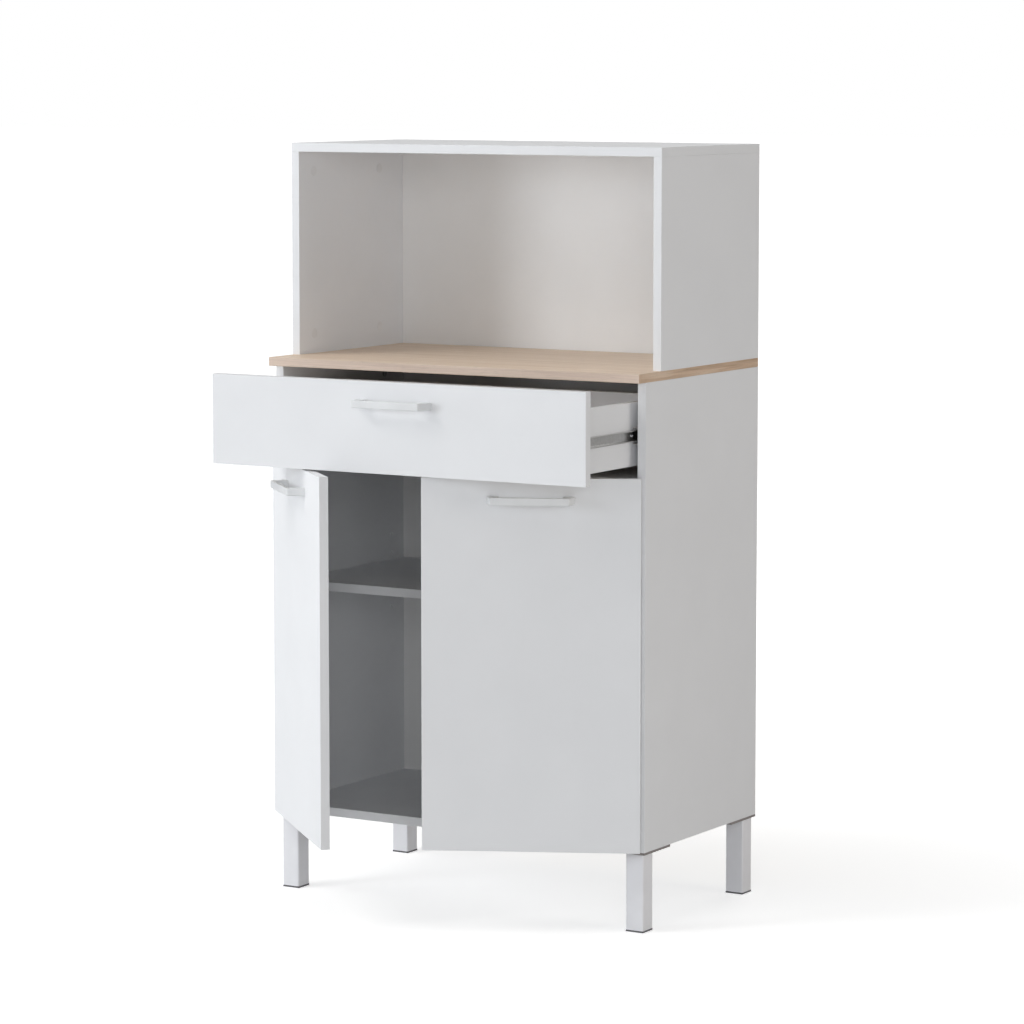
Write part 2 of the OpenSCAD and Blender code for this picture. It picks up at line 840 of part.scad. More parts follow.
module left_turned() {
  translate([pin_x, pin_y, 0]) rotate([0, 0, -left_open]) translate([-pin_x, -pin_y, 0]) children();
}
module right_turned() {
  right_hand()
    translate([pin_x, pin_y, 0]) rotate([0, 0, -right_open]) translate([-pin_x, -pin_y, 0]) children();
}
module hinge_heights() {
  for (z = hinge_places)
    translate([0, 0, z]) children();
}
// The cup's place and its screws' places, on the door's inner face at the hinge's height
module cup_place() {
  translate([cup_x, inner_y, 0]) children();
}
module cup_screw_places() {
  for (s = [-1, 1])
    translate([cup_x + cup_screw_in, inner_y, s * cup_screw_pitch / 2]) children();
}
module door_board() {
  color(melamine) difference() {
    box([-half_w + side_reveal, outer_y, door_z], [-half_w + side_reveal + door_w, inner_y, door_top]);
    handle_at(door_mid_x, door_top - handle_drop) handle_holes();
    hinge_heights() {
      cup_place() rod_y([0, -cup_depth, 0], cup_d / 2, cup_depth + past);
      cup_screw_places()
        rod_y([0, -cup_screw_len - bore_play, 0], cup_screw_r + bore_play, cup_screw_len + past);
    }
  }
}
module door_handle() {
  color(white_metal) handle_at(door_mid_x, door_top - handle_drop) handle_bow();
}
module door_handle_screws() {
  color(zinc) handle_at(door_mid_x, door_top - handle_drop) handle_screw_pair();
}
// The cup has a flange with two ears on the door's inner face, and two lugs inside that hold the pin
module hinge_cup() {
  ear_in = 4;
  ear_out = 7;
  difference() {
    union() {
      cup_place() rod_y([0, -cup_depth, 0], cup_d / 2 - bore_play, cup_depth);
      cup_place() rod_y([0, 0, 0], flange_r, flange_t);
      box([cup_x - ear_in, inner_y, -flange_half],
          [cup_x + cup_screw_in + ear_out, inner_y + flange_t, flange_half]);
    }
    cup_place() rod_y([0, cup_floor - cup_depth, 0], cavity_r, cup_depth + flange_t + past);
    cup_screw_places() rod_y([0, -past, 0], cup_screw_r + bore_play, flange_t + 2 * past);
  }
  for (side = [0, 1])
    mirror([0, 0, side]) pin_lug();
}
module pin_lug() {
  lug_z = eye_half + lug_gap;
  difference() {
    intersection() {
      box([cup_x - cup_d / 2, inner_y - cup_depth + cup_floor / 2, lug_z],
          [pin_x + eye_r + 1, pin_y + eye_r, lug_z + lug_t]);
      cup_place() rod_y([0, -cup_depth, 0], cavity_r + cup_wall / 2, cup_depth);
    }
    rod_z([pin_x, pin_y, 0], pin_r + pin_play / 2, cup_d);
  }
}
module hinge_cups() {
  color(steel) hinge_heights() hinge_cup();
}
module hinge_pins() {
  half = eye_half + lug_gap + lug_t;
  color(zinc) hinge_heights() rod_z([pin_x, pin_y, -half], pin_r, 2 * half);
}
module cup_screws() {
  head_r = 3.2;
  head_t = 1.6;
  color(zinc) hinge_heights() cup_screw_places() {
    rod_y([0, -cup_screw_len, 0], cup_screw_r, cup_screw_len + flange_t);
    rod_y([0, flange_t, 0], head_r, head_t);
  }
}
module left_door() {
  left_turned() door_board();
}
module left_door_handle() {
  left_turned() door_handle();
}
module left_door_handle_screws() {
  left_turned() door_handle_screws();
}
module left_hinge_cups() {
  left_turned() hinge_cups();
}
module left_hinge_pins() {
  left_turned() hinge_pins();
}
module left_cup_screws() {
  left_turned() cup_screws();
}
module right_door() {
  right_turned() door_board();
}
module right_door_handle() {
  right_turned() door_handle();
}
module right_door_handle_screws() {
  right_turned() door_handle_screws();
}
module right_hinge_cups() {
  right_turned() hinge_cups();
}
module right_hinge_pins() {
  right_turned() hinge_pins();
}
module right_cup_screws() {
  right_turned() cup_screws();
}

// Hinge arms and mounting plates, fixed to the side panels

// The arm: an eye on the pin, a neck that reaches out of the cup, and a channel over the plate's block
module hinge_arm() {
  web_x = -in_x + arm_h;
  skirt_x = web_x - arm_skirt;
  difference() {
    union() {
      rod_z([pin_x, pin_y, -eye_half], eye_r, 2 * eye_half);
      box([pin_x, pin_y - neck_t / 2, -eye_half], [pin_x + neck_reach, pin_y + neck_t / 2, eye_half]);
      box([pin_x + neck_reach - neck_t, pin_y - neck_t / 2, -eye_half],
          [pin_x + neck_reach, front_y + arm_start + arm_steel, eye_half]);
      difference() {
        box([skirt_x, front_y + arm_start, -arm_w / 2], [web_x, front_y + arm_end, arm_w / 2]);
        box([skirt_x - past, front_y + arm_start + arm_steel, -arm_w / 2 + arm_steel],
            [web_x - arm_steel, front_y + arm_end + past, arm_w / 2 - arm_steel]);
      }
    }
    rod_z([pin_x, pin_y, -eye_half - past], pin_r + pin_play, 2 * eye_half + 2 * past);
    arm_screw_place() rod_x([arm_h - arm_steel - past, 0, 0], arm_screw_r + bore_play, arm_steel + 2 * past);
  }
}
module hinge_plate() {
  block_w = arm_w - 2 * arm_steel - 2 * bore_play;
  difference() {
    translate([-in_x, front_y + plate_setback, 0]) {
      box([0, -plate_front, -arm_w / 2], [plate_t, plate_rear, arm_w / 2]);
      box([0, -plate_ear, -plate_wing], [plate_t, plate_ear, plate_wing]);
      box([0, -block_front, -block_w / 2], [arm_h - arm_steel, block_rear, block_w / 2]);
    }
    plate_screw_places() rod_x([-past, 0, 0], plate_screw_r + bore_play, plate_t + 2 * past);
    arm_screw_place() rod_x([plate_t, 0, 0], arm_screw_r + bore_play, arm_h);
  }
}
// Places of the screws, on the side panel's inner face at the hinge's height
module plate_screw_places() {
  for (s = [-1, 1])
    translate([-in_x, front_y + plate_setback, s * plate_screw_z]) children();
}
module arm_screw_place() {
  translate([-in_x, front_y + plate_setback + arm_screw_back, 0]) children();
}
module hinge_arms() {
  color(steel) hinge_heights() hinge_arm();
}
module hinge_plates() {
  color(steel) hinge_heights() hinge_plate();
}
module left_hinge_arms() {
  hinge_arms();
}
module right_hinge_arms() {
  right_hand() hinge_arms();
}
module left_hinge_plates() {
  hinge_plates();
}
module right_hinge_plates() {
  right_hand() hinge_plates();
}
// Two screws hold each plate to the side panel, and one holds the arm to the plate
module hinge_plate_screws() {
  arm_head_r = 3;
  arm_head_t = 1.8;
  color(zinc) for (side = [0, 1])
    mirror([side, 0, 0])
      hinge_heights() {
        plate_screw_places() {
          rod_x([-plate_screw_len, 0, 0], plate_screw_r, plate_screw_len + plate_t);
          rod_x([plate_t, 0, 0], plate_head_r, plate_head_t);
        }
        arm_screw_place() {
          rod_x([plate_t + bore_play, 0, 0], arm_screw_r, arm_h - plate_t - bore_play);
          rod_x([arm_h, 0, 0], arm_head_r, arm_head_t);
        }
      }
}

// Legs. A corner's own frame has its origin at the leg's outer edge, +x and +y towards the middle.

module corner(side, end) {
  translate([0, origin_forward, 0]) mirror([side, 0, 0]) mirror([0, end, 0])
    translate([leg_inset - half_w, leg_inset - carcass_d / 2, 0]) children();
}
module at_corners() {
  for (side = [0, 1])
    for (end = [0, 1])
      corner(side, end) children();
}
module leg_tube() {
  top = leg_h - leg_plate_t;
  color(white_metal) difference() {
    box([0, 0, pad_t], [leg_w, leg_w, top]);
    box([leg_wall, leg_wall, pad_t - past], [leg_w - leg_wall, leg_w - leg_wall, top - leg_cap]);
    rod_z([leg_w / 2, leg_w / 2, top - leg_cap - past], stud_r + bore_play, leg_cap + 2 * past);
  }
}
module front_left_leg() {
  corner(0, 0) leg_tube();
}
module front_right_leg() {
  corner(1, 0) leg_tube();
}
module rear_left_leg() {
  corner(0, 1) leg_tube();
}
module rear_right_leg() {
  corner(1, 1) leg_tube();
}
module leg_plates() {
  color(dark_plastic) at_corners() difference() {
    box([-leg_inset, -leg_inset, leg_h - leg_plate_t], [leg_plate_far, leg_plate_far, leg_h]);
    rod_z([leg_w / 2, leg_w / 2, leg_h - leg_plate_t - past], stud_r + bore_play, leg_plate_t + 2 * past);
    for (p = leg_screw_places)
      rod_z([p[0], p[1], leg_h - leg_plate_t - past], leg_screw_r + bore_play, leg_plate_t + 2 * past);
  }
}
module leg_pads() {
  plug_in = leg_wall + 0.2;
  color(dark_plastic) at_corners() {
    box([0, 0, 0], [leg_w, leg_w, pad_t]);
    box([plug_in, plug_in, pad_t - past], [leg_w - plug_in, leg_w - plug_in, pad_t + pad_plug]);
  }
}
module leg_plate_screws() {
  color(zinc) at_corners()
    for (p = leg_screw_places) {
      rod_z([p[0], p[1], leg_h - leg_plate_t - leg_head_t], leg_head_r, leg_head_t);
      rod_z([p[0], p[1], leg_h - leg_plate_t], leg_screw_r, leg_screw_len);
    }
}
module leg_studs() {
  color(zinc) at_corners()
    rod_z([leg_w / 2, leg_w / 2, leg_h - stud_len], stud_r, stud_len);
}

left_side_panel();
right_side_panel();
bottom_panel();
divider_panel();
lower_back_panel();
shelf();
shelf_pins();
worktop();
niche_left_side();
niche_right_side();
niche_top_panel();
niche_back_panel();
back_panel_nails();
cam_bolts();
cam_locks();
cam_covers();
wooden_dowels();
drawer_front();
drawer_left_side();
drawer_right_side();
drawer_back();
drawer_bottom();
drawer_handle();
drawer_handle_screws();
drawer_cams();
drawer_box_screws();
left_drawer_slide();
right_drawer_slide();
drawer_slide_screws();
left_cabinet_slide();
right_cabinet_slide();
cabinet_slide_screws();
left_ball_cage();
right_ball_cage();
left_door();
left_door_handle();
left_door_handle_screws();
left_hinge_cups();
left_hinge_pins();
left_cup_screws();
right_door();
right_door_handle();
right_door_handle_screws();
right_hinge_cups();
right_hinge_pins();
right_cup_screws();
left_hinge_arms();
right_hinge_arms();
left_hinge_plates();
right_hinge_plates();
hinge_plate_screws();
front_left_leg();
front_right_leg();
rear_left_leg();
rear_right_leg();
leg_plates();
leg_pads();
leg_plate_screws();
leg_studs();
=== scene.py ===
import math

import bmesh
import bpy
import numpy as np
from mathutils import Matrix


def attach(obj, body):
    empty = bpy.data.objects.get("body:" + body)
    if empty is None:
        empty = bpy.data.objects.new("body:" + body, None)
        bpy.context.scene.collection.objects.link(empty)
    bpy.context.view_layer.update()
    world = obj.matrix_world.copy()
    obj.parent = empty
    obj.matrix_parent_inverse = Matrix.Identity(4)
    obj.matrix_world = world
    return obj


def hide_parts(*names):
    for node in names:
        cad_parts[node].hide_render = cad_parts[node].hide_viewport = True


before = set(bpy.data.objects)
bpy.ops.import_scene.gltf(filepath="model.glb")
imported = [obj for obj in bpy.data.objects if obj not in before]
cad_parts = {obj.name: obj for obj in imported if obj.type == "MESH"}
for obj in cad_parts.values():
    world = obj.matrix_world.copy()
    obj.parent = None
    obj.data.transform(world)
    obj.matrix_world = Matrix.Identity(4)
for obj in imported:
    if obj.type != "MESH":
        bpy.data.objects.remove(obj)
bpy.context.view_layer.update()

# ---- Carcass side panels --------------------------------------------------------------------
# Two upright 15 mm particleboards faced with white melamine paper, edge-banded all round and
# drilled for cams, dowels, shelf pins and hinges. The trimming scraper breaks every edge a little.


def new_material(name):
    """An empty node material, its node tree and its Principled shader."""
    material = bpy.data.materials.new(name)
    material.use_nodes = True
    return material, material.node_tree, material.node_tree.nodes["Principled BSDF"]


def add_node(tree, kind, inputs=(), **settings):
    """One shader node, with its settings by name and its inputs as (name, value or socket)."""
    made = tree.nodes.new("ShaderNode" + kind)
    for key, value in settings.items():
        setattr(made, key, value)
    for key, value in inputs:
        if isinstance(value, bpy.types.NodeSocket):
            tree.links.new(value, made.inputs[key])
        else:
            made.inputs[key].default_value = value
    return made


def stretched(tree, scale=(1, 1, 1)):
    """Object coordinates in metres, multiplied by one number for each axis."""
    place = add_node(tree, "TexCoord").outputs["Object"]
    return add_node(tree, "Mapping", [("Vector", place), ("Scale", scale)]).outputs[0]


def noise(tree, size, detail=2.0, stretch=(1, 1, 1), rough=0.5, warp=0.0):
    """Noise with features of about size metres, longer along the axes whose stretch is above 1."""
    scale = [1 / (size * s) for s in stretch]
    return add_node(tree, "TexNoise", [("Vector", stretched(tree, scale)), ("Scale", 1.0),
                                       ("Detail", detail), ("Roughness", rough),
                                       ("Distortion", warp)]).outputs["Fac"]


def ramp(tree, value, *stops):
    """A colour ramp through stops of (position, colour), where a plain number stands for a grey."""
    made = add_node(tree, "ValToRGB", [("Fac", value)])
    points = made.color_ramp.elements
    points.remove(points[1])
    for i, (position, colour) in enumerate(stops):
        point = points[0] if i == 0 else points.new(position)
        point.position = position
        point.color = (colour, colour, colour, 1) if isinstance(colour, float) else (*colour, 1)
    return made.outputs["Color"]


def put(tree, shader, **sockets):
    """Links a socket to, or sets a number on, each named input of the shader."""
    for key, value in sockets.items():
        target = shader.inputs[key.replace("_", " ")]
        if isinstance(value, bpy.types.NodeSocket):
            tree.links.new(value, target)
        else:
            target.default_value = value


def relief(tree, height, depth, strength=1.0, under=None):
    """A bump of a depth in metres from a height, laid over another bump."""
    inputs = [("Height", height), ("Distance", depth), ("Strength", strength)]
    return add_node(tree, "Bump", inputs + ([("Normal", under)] if under else [])).outputs["Normal"]


def melamine_finish(name, light, dark):
    """Melamine paper: an even colour with a faint cloud in it, the press plate's pearl texture of
    half a millimetre, and the board's slow waviness under it."""
    material, tree, shader = new_material(name)
    cloud = noise(tree, 0.14, 4.0)
    waves = relief(tree, noise(tree, 0.09, 1.0), 0.00006)
    pearl = relief(tree, noise(tree, 0.0006, 2.0), 0.00003, under=waves)
    put(tree, shader, Base_Color=ramp(tree, cloud, (0.35, dark), (0.65, light)), Normal=pearl,
        Roughness=ramp(tree, noise(tree, 0.03, 3.0), (0.35, 0.50), (0.65, 0.58)),
        Specular_IOR_Level=0.25)
    return material


def dress(name, material, edge=0.0005, segments=2):
    """A CAD node shown with its own shape: triangles joined, flat faces made whole, edges broken."""
    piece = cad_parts[name]
    piece.data.materials.clear()
    piece.data.materials.append(material)
    piece.data.shade_smooth()
    joined = piece.modifiers.new("joined", "WELD")
    joined.merge_threshold = 0.00002
    whole = piece.modifiers.new("whole faces", "DECIMATE")
    whole.decimate_type, whole.angle_limit = "DISSOLVE", math.radians(1)
    broken = piece.modifiers.new("broken edges", "BEVEL")
    broken.width, broken.segments = edge, segments
    broken.limit_method, broken.angle_limit = "ANGLE", math.radians(50)
    broken.use_clamp_overlap = False
    flat = piece.modifiers.new("flat faces", "WEIGHTED_NORMAL")
    flat.weight = 100


board_white = melamine_finish("white_melamine", (0.850, 0.858, 0.875), (0.832, 0.840, 0.857))
dress("left_side_panel", board_white)
dress("right_side_panel", board_white)

# ---- Bottom and divider panels ---------------------------------------------------------------
# The same board laid flat between the sides: one under the doors, one between doors and drawer.
# Cams and dowels in their ends pull them against the side panels.

dress("bottom_panel", board_white)
dress("divider_panel", board_white)

# ---- Lower back panel and its nails ----------------------------------------------------------
# A 3 mm hardboard slid into grooves, lacquered white inside and left bare at the back, where its
# pressed fibres show. Ten small round-headed nails fix it to the divider and the bottom.


def mixed(tree, share, first, second, how="MIX"):
    """The second colour laid over the first by a share, mixed with it or multiplied by it."""
    made = add_node(tree, "Mix", [("Factor", share)], data_type="RGBA", blend_type=how)
    tree.links.new(first, made.inputs["A"])
    tree.links.new(second, made.inputs["B"])
    return made.outputs["Result"]


def thin_board_finish(name, axis, split, bare_side):
    """Hardboard: white lacquer on one side of a plane across an axis, a little lighter than the melamine,
    partly its own tone and partly painted light for the shaded inside, and bare fibres on the side where the
    axis reads GREATER_THAN or LESS_THAN the plane's place."""
    material, tree, shader = new_material(name)
    fibres = noise(tree, 0.0022, 5.0, rough=0.7, warp=0.8)
    bare = ramp(tree, fibres, (0.3, (0.56, 0.50, 0.42)), (0.7, (0.67, 0.62, 0.54)))
    cloud = noise(tree, 0.12, 4.0)
    # Partly painted light: the lacquer's tones are set a little lighter than the melamine boards to lift the
    # shaded niche and the cabinet's inside.
    lacquer = ramp(tree, cloud, (0.35, (0.885, 0.88, 0.875)), (0.65, (0.91, 0.905, 0.90)))
    along = add_node(tree, "SeparateXYZ", [("Vector", stretched(tree))]).outputs[axis]
    is_bare = add_node(tree, "Math", [(0, along), (1, split)], operation=bare_side).outputs[0]
    gloss = add_node(tree, "MapRange", [("Value", is_bare), ("To Min", 0.5), ("To Max", 0.85)])
    put(tree, shader, Base_Color=mixed(tree, is_bare, lacquer, bare), Roughness=gloss.outputs[0],
        Normal=relief(tree, fibres, 0.00004), Specular_IOR_Level=0.25)
    return material


back_board = thin_board_finish("back_board", "Y", 0.3115, "GREATER_THAN")
dress("lower_back_panel", back_board, edge=0.0002, segments=1)


def zinc_finish(name, tone=(0.55, 0.56, 0.58), rough=(0.28, 0.42)):
    """Zinc-plated steel: fine rolling lines along the y axis and a faint cloud in the plating."""
    material, tree, shader = new_material(name)
    rolled = noise(tree, 0.0003, 3.0, (1, 40, 1))
    cloud = noise(tree, 0.004, 3.0)
    low = tuple(0.86 * c for c in tone)
    put(tree, shader, Base_Color=ramp(tree, cloud, (0.3, low), (0.7, tone)), Metallic=1.0,
        Roughness=ramp(tree, rolled, (0.3, rough[0]), (0.7, rough[1])),
        Normal=relief(tree, rolled, 0.00002, 0.5))
    return material


def loft(rings, along=False):
    """Rings of points, one after the other: point j of ring i is joined to point j + 1 and to ring
    i + 1. Closed around, and either closed along or capped at both end rings."""
    count, size = rings.shape[:2]
    index = np.arange(count * size).reshape(count, size)
    if along:
        index = np.vstack([index, index[:1]])
    index = np.hstack([index, index[:, :1]])
    corners = (index[:-1, :-1], index[:-1, 1:], index[1:, 1:], index[1:, :-1])
    faces = np.stack(corners, -1).reshape(-1, 4).tolist()
    if not along:
        faces += [index[0, :size][::-1].tolist(), index[-1, :size].tolist()]
    return rings.reshape(-1, 3), faces


def make_piece(name, parts, material, body, replaced):
    """One object from parts of (points in millimetres, faces), closed, turned outwards and smooth
    where its faces meet at less than 40 degrees."""
    points, faces, start = [], [], 0
    for part, part_faces in parts:
        points.append(part)
        faces += [[i + start for i in face] for face in part_faces]
        start += len(part)
    mesh = bpy.data.meshes.new(name)
    mesh.from_pydata((np.concatenate(points) / 1000).tolist(), [], faces)
    shell = bmesh.new()
    shell.from_mesh(mesh)
    bmesh.ops.remove_doubles(shell, verts=shell.verts, dist=1e-6)
    bmesh.ops.recalc_face_normals(shell, faces=shell.faces)
    shell.to_mesh(mesh)
    shell.free()
    mesh.shade_smooth()
    mesh.set_sharp_from_angle(angle=math.radians(40))
    mesh.materials.append(material)
    piece = bpy.data.objects.new(name, mesh)
    bpy.context.scene.collection.objects.link(piece)
    flat = piece.modifiers.new("flat faces", "WEIGHTED_NORMAL")
    flat.weight, flat.keep_sharp = 100, True
    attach(piece, body)
    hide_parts(replaced)


def turned_rings(outline, steps):
    """The rings of a turned shape: an outline of (radius, height) swung round the z axis on equal
    angles."""
    angles = np.linspace(0, 2 * np.pi, steps, endpoint=False)
    radius, height = np.asarray(outline, float).T
    return np.stack([np.outer(radius, np.cos(angles)), np.outer(radius, np.sin(angles)),
                     np.repeat(height[:, None], steps, 1)], -1)


def stood_at(part, at, axis):
    """A part drawn up the z axis, stood at a point with its z axis along another axis."""
    points, faces = part
    up = np.asarray(axis, float) / np.linalg.norm(axis)
    side = np.cross((0, 1, 0) if abs(up[1]) < 0.9 else (1, 0, 0), up)
    side /= np.linalg.norm(side)
    return points @ np.stack([side, np.cross(up, side), up]) + np.asarray(at, float), faces


zinc = zinc_finish("zinc_plate")
nail_outline = [(0, 0.8), (1.3, 0.72), (2.0, 0.45), (2.2, 0.1), (2.1, 0), (0.8, 0), (0.8, -17), (0, -18)]
nail = loft(turned_rings(nail_outline, 12))
board_rear, bottom_middle, divider_middle = 313, 141.5, 737.5
nails = [stood_at(nail, (x, board_rear, z), (0, 1, 0))
         for z in (bottom_middle, divider_middle) for x in np.linspace(-318, 318, 5)]
make_piece("round_nails", nails, zinc, "cabinet", "back_panel_nails")

# ---- Shelf and its pins ----------------------------------------------------------------------
# One loose board of the same kind lies on four zinc-plated pins. The pins stand in one of the five
# holes of each row, so that the shelf can be set higher or lower.

dress("shelf", board_white)
dress("shelf_pins", zinc, edge=0.0004)

# ---- Worktop ---------------------------------------------------------------------------------
# A 15 mm board in light oak melamine that lies on the carcass and stands proud at the front. Its
# front and ends have the same oak band; the printed grain runs across the cabinet, with fine pores.


def oak_print(tree, grain, lines_across, tones, width=0.012):
    """Printed oak with its grain along one axis: long bands of a width from noise, growth lines
    from a wave bent by noise, and short dark pores. Gives the colour, the bands and the pores."""
    def drawn_out(length, across=1):
        return tuple(length if axis == grain else across for axis in "XYZ")

    bands = noise(tree, width, 4.0, drawn_out(26), 0.6, 0.4)
    ground = ramp(tree, bands, (0.25, tones[0]), (0.5, tones[1]), (0.75, tones[2]))
    wave = add_node(tree, "TexWave", [("Vector", stretched(tree, drawn_out(2.2, 62))), ("Scale", 1.0),
                                      ("Distortion", 9.0), ("Detail", 3.0), ("Detail Scale", 0.9)],
                    bands_direction=lines_across)
    lines = ramp(tree, wave.outputs["Fac"], (0.0, 0.88), (0.45, 1.0), (1.0, 0.97))
    pores = ramp(tree, noise(tree, 0.0009, 2.0, drawn_out(22)), (0.30, 0.72), (0.40, 1.0))
    lined = mixed(tree, 0.7, ground, lines, "MULTIPLY")
    return mixed(tree, 0.6, lined, pores, "MULTIPLY"), bands, pores


def oak_finish(name):
    """The worktop's print: pale on the faces, where painted light lifts it as if lit from above, a shade
    deeper on the front band, and browner on the end bands, partly painted shade, where the grain follows the
    band. The object's own normal tells them apart."""
    material, tree, shader = new_material(name)
    normal = add_node(tree, "SeparateXYZ", [("Vector", add_node(tree, "TexCoord").outputs["Normal"])])
    facing = {}
    for axis in "XY":
        size = add_node(tree, "Math", [(0, normal.outputs[axis])], operation="ABSOLUTE").outputs[0]
        facing[axis] = add_node(tree, "Math", [(0, size), (1, 0.7)], operation="GREATER_THAN").outputs[0]
    # Painted light and shade: the faces' tones are lifted above the print's own tone to stand in for light
    # from above, and the end bands' dark tones are partly painted shade.
    face_tones_painted_light = ((0.76, 0.585, 0.44), (0.85, 0.675, 0.52), (0.91, 0.74, 0.585))
    front_tones = ((0.65, 0.51, 0.42), (0.75, 0.60, 0.495), (0.82, 0.67, 0.56))
    end_tones_painted_shade = ((0.44, 0.295, 0.19), (0.66, 0.475, 0.335), (0.82, 0.66, 0.52))
    face, bands, pores = oak_print(tree, "X", "Y", face_tones_painted_light)
    front = oak_print(tree, "X", "Z", front_tones)[0]
    end = oak_print(tree, "Y", "Z", end_tones_painted_shade, 0.007)[0]
    colour = mixed(tree, facing["X"], mixed(tree, facing["Y"], face, front), end)
    put(tree, shader, Base_Color=colour, Specular_IOR_Level=0.35,
        Roughness=ramp(tree, bands, (0.3, 0.50), (0.7, 0.42)), Normal=relief(tree, pores, 0.00008, 0.6))
    return material


def four_corners(steps):
    """The way round a rectangle with round corners: the angles of four quarter circles one after
    the other, and the signs of x and y at the corner to which each of them belongs."""
    quarter = np.linspace(0, np.pi / 2, steps + 1)
    around = np.concatenate([quarter + i * np.pi / 2 for i in range(4)])
    return around, np.repeat([(1, 1), (-1, 1), (-1, -1), (1, -1)], steps + 1, 0)


def round_box(low, high, radius, steps=3):
    """A box with round edges: a ball's surface on equal angles, each of its eighths moved out to
    the corner of the box that it belongs to."""
    around, signs = four_corners(steps)
    quarter = around[:steps + 1]
    rise = np.concatenate([quarter - np.pi / 2, quarter])
    turn, lift = np.meshgrid(around, rise)
    ball = np.stack([np.cos(turn) * np.cos(lift), np.sin(turn) * np.cos(lift), np.sin(lift)], -1)
    corner = np.empty_like(ball)
    corner[..., :2] = signs
    corner[..., 2] = np.repeat([-1, 1], steps + 1)[:, None]
    low, high = np.asarray(low, float), np.asarray(high, float)
    return loft((low + high) / 2 + corner * ((high - low) / 2 - radius) + ball * radius)


top_board = round_box((-360, -89, 902), (360, 323, 917), 1.0)
make_piece("oak_worktop", [top_board], oak_finish("oak_print"), "cabinet", "worktop")

# ---- Niche -----------------------------------------------------------------------------------
# Two shallower side boards and a top board over them, on the worktop, with a thin back in a groove.
# White caps cover the cam locks that would otherwise show inside it and under the divider.

for name in ("niche_left_side", "niche_right_side", "niche_top_panel"):
    dress(name, board_white)
dress("niche_back_panel", back_board, edge=0.0002, segments=1)


def plastic_finish(name, colour, rough=0.42):
    """Moulded plastic: a fine spark-eroded grain, and a slightly uneven gloss."""
    material, tree, shader = new_material(name)
    grain = noise(tree, 0.0004, 2.0)
    soft = tuple(0.93 * c for c in colour)
    put(tree, shader, Base_Color=ramp(tree, noise(tree, 0.02, 3.0), (0.3, soft), (0.7, colour)),
        Roughness=ramp(tree, grain, (0.3, rough), (0.7, rough + 0.12)),
        Normal=relief(tree, grain, 0.00003, 0.6))
    return material


cap_white = plastic_finish("white_caps", (0.84, 0.845, 0.855))
dress("cam_covers", cap_white, edge=0.0002)

# ---- Cams, bolts and dowels ------------------------------------------------------------------
# Die-cast cams turn on zinc-plated bolts and draw the boards together; fluted beech dowels beside
# them take the load. All of them are inside the boards.

for name in ("cam_bolts", "cam_locks", "drawer_cams"):
    dress(name, zinc, edge=0.0002, segments=1)


def beech_finish(name):
    """Beech: pale pink-brown with short dark flecks along the dowel."""
    material, tree, shader = new_material(name)
    flecks = noise(tree, 0.0006, 3.0, (1, 1, 9))
    put(tree, shader, Base_Color=ramp(tree, flecks, (0.3, (0.42, 0.27, 0.15)), (0.6, (0.62, 0.43, 0.27))),
        Roughness=0.65, Normal=relief(tree, flecks, 0.00005))
    return material


dress("wooden_dowels", beech_finish("beech"))

# ---- Legs ------------------------------------------------------------------------------------
# Four square steel tubes, 33 mm wide with 1.5 mm walls and rounded corners, powder-coated white.
# Each stands on a grey plastic foot and is bolted up to a pressed plate under the carcass.


def paint_finish(name, colour, rough=(0.36, 0.46)):
    """Powder coat: one colour with a fine orange-peel relief and a soft, slightly uneven gloss."""
    material, tree, shader = new_material(name)
    peel = noise(tree, 0.0011, 2.0)
    thin = tuple(0.94 * c for c in colour)
    put(tree, shader, Base_Color=ramp(tree, noise(tree, 0.05, 3.0), (0.3, thin), (0.7, colour)),
        Roughness=ramp(tree, noise(tree, 0.012, 2.0), (0.3, rough[0]), (0.7, rough[1])),
        Normal=relief(tree, peel, 0.00005, 0.7), Specular_IOR_Level=0.4)
    return material


def square_tube(centre, half, corner, wall, bottom, top):
    """A square tube: its wall's section, with broken ends, carried round a square with round
    corners. The square is four quarter circles, each moved out to its corner."""
    around, signs = four_corners(5)
    edge = 0.3
    section = [(0, bottom + edge), (0, top - edge), (-edge, top), (edge - wall, top),
               (-wall, top - edge), (-wall, bottom + edge), (edge - wall, bottom), (-edge, bottom)]
    rings = np.empty((len(section), len(around), 3))
    for ring, (inset, height) in zip(rings, section):
        ring[:, 0] = centre[0] + signs[:, 0] * (half - corner) + (corner + inset) * np.cos(around)
        ring[:, 1] = centre[1] + signs[:, 1] * (half - corner) + (corner + inset) * np.sin(around)
        ring[:, 2] = height
    return loft(rings, along=True)


def square_block(centre, half, low, high, radius):
    """A square block with round edges, between two heights."""
    x, y = centre
    return round_box((x - half, y - half, low), (x + half, y + half, high), radius)


white_paint = paint_finish("white_powder_coat", (0.92, 0.92, 0.95))
leg_half, leg_wall, sole, leg_top = 16.5, 1.5, 3.0, 130.0
leg_centre = {"front_left": (-339, -46), "front_right": (339, -46),
              "rear_left": (-339, 302), "rear_right": (339, 302)}
for place, centre in leg_centre.items():
    tube = square_tube(centre, leg_half, 3.0, leg_wall, sole, leg_top)
    top_plug = square_block(centre, leg_half - leg_wall, leg_top - 8, leg_top, 1.5)
    make_piece(place + "_square_tube", [tube, top_plug], white_paint, "cabinet", place + "_leg")

feet = []
for centre in leg_centre.values():
    feet += [square_block(centre, leg_half, 0, sole, 0.9), square_block(centre, 14.8, 2, 15, 1.2)]
foot_plastic = plastic_finish("grey_foot_plastic", (0.135, 0.135, 0.145), 0.55)
make_piece("moulded_feet", feet, foot_plastic, "cabinet", "leg_pads")
dress("leg_plates", paint_finish("grey_plate_paint", (0.26, 0.235, 0.225)), edge=0.0006)
dress("leg_studs", zinc)


